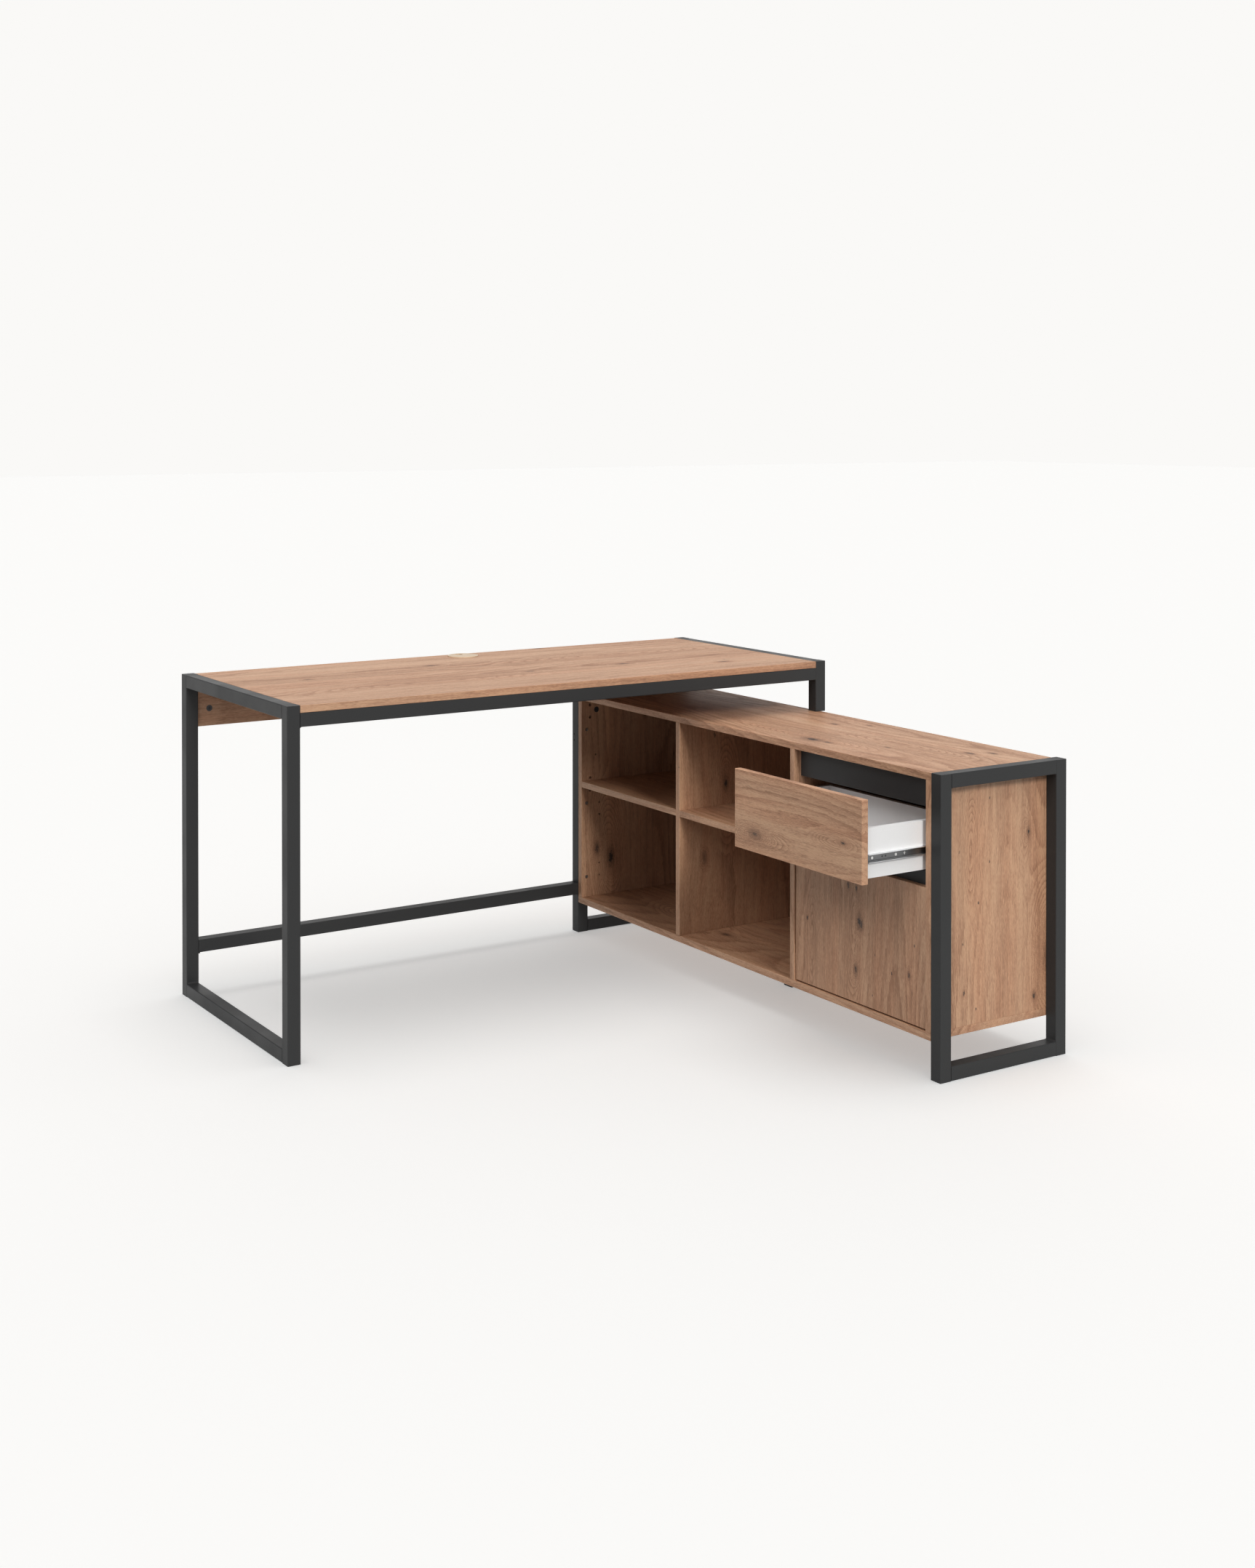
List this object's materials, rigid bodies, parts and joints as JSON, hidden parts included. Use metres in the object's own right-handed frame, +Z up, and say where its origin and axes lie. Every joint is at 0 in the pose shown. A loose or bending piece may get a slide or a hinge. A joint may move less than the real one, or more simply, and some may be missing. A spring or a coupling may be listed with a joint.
{
  "type": "corner desk",
  "caption": "L-shaped desk: a steel-framed top on one closed leg frame and on a long sideboard with open bays, a drawer and a door.",
  "frame": {"origin": "on the floor, under the middle of the whole footprint", "axes": "+X runs along the desk from its own leg frame to the sideboard, +Y runs from the sitter's side to the back of the desk, +Z is up"},
  "size_m": [1.45, 1.425, 0.7625],
  "materials": {
    "oak_laminate": "matt oak-print melamine with dark knots and cracks",
    "graphite_laminate": "matt graphite melamine",
    "white_laminate": "matt white foil",
    "brown_hardboard": "printed hardboard",
    "beech": "raw turned beech",
    "anthracite_steel": "fine-textured matt powder coat",
    "zinc_steel": "bright zinc plating",
    "nickel_steel": "nickel plating",
    "black_plastic": "moulded, satin",
    "beige_plastic": "moulded, satin"
  },
  "bodies": {
    "case_and_frame": {"back_panel": "brown_hardboard", "back_panel_nails": "zinc_steel", "bottom_screws": "zinc_steel", "cam_bolts": "zinc_steel", "cam_locks": "nickel_steel", "case_screws": "zinc_steel", "centre_support_leg": "anthracite_steel", "cross_rail": "anthracite_steel", "cross_rail_end_plates": "anthracite_steel", "desk_screws": "zinc_steel", "desk_top": "oak_laminate", "dowels": "beech", "end_blocks": "black_plastic", "far_leg_back": "anthracite_steel", "far_leg_front": "anthracite_steel", "far_rail_bottom": "anthracite_steel", "far_rail_top": "anthracite_steel", "fascia_lower": "graphite_laminate", "fascia_upper": "graphite_laminate", "floor_glides": "black_plastic", "frame_bolts": "nickel_steel", "front_apron": "anthracite_steel", "hinge_arms": "nickel_steel", "hinge_plates": "nickel_steel", "joining_studs": "zinc_steel", "left_leg_back": "anthracite_steel", "left_leg_front": "anthracite_steel", "left_rail_bottom": "anthracite_steel", "left_rail_top": "anthracite_steel", "leg_top_plugs": "black_plastic", "modesty_panel": "oak_laminate", "near_leg_back": "anthracite_steel", "near_leg_front": "anthracite_steel", "near_rail_bottom": "anthracite_steel", "near_rail_top": "anthracite_steel", "outlet_sleeve": "beige_plastic", "partition_far": "oak_laminate", "partition_near": "oak_laminate", "right_leg_back": "anthracite_steel", "right_leg_front": "anthracite_steel", "right_rail_top": "anthracite_steel", "shelf_far": "oak_laminate", "shelf_middle": "oak_laminate", "side_panel_far": "oak_laminate", "side_panel_near": "oak_laminate", "sideboard_bottom": "oak_laminate", "sideboard_top": "oak_laminate", "slide_case_members": "zinc_steel"},
    "drawer": {"drawer_front": "oak_laminate", "drawer_side_near": "white_laminate", "drawer_side_far": "white_laminate", "drawer_back": "white_laminate", "drawer_bottom": "white_laminate", "drawer_dowels": "beech", "slide_drawer_members": "zinc_steel", "drawer_screws": "zinc_steel"},
    "ball_cages": {"slide_cages": "zinc_steel"},
    "door": {"door": "oak_laminate", "hinge_cups": "nickel_steel"},
    "outlet_lid": {"outlet_lid": "beige_plastic"}
  },
  "joints": [
    {"name": "drawer_slide", "type": "slide", "parent": "case_and_frame", "child": "drawer", "axis": [-1, 0, 0], "range_m": [-0.172, 0.008]},
    {"name": "cage_travel", "type": "slide", "parent": "case_and_frame", "child": "ball_cages", "axis": [-1, 0, 0], "range_m": [-0.086, 0.004]},
    {"name": "door_swing", "type": "hinge", "parent": "case_and_frame", "child": "door", "pos_m": [0.368, -0.664, 0.2465], "axis": [0, 0, 1], "range_deg": [0, 105]},
    {"name": "outlet_lid_turn", "type": "hinge", "parent": "case_and_frame", "child": "outlet_lid", "pos_m": [0.005, 0.6605, 0.757], "axis": [0, 0, 1], "continuous": true}
  ],
  "couplings": [
    {"joint": "cage_travel", "follows": "drawer_slide", "ratio": 0.5}
  ]
}
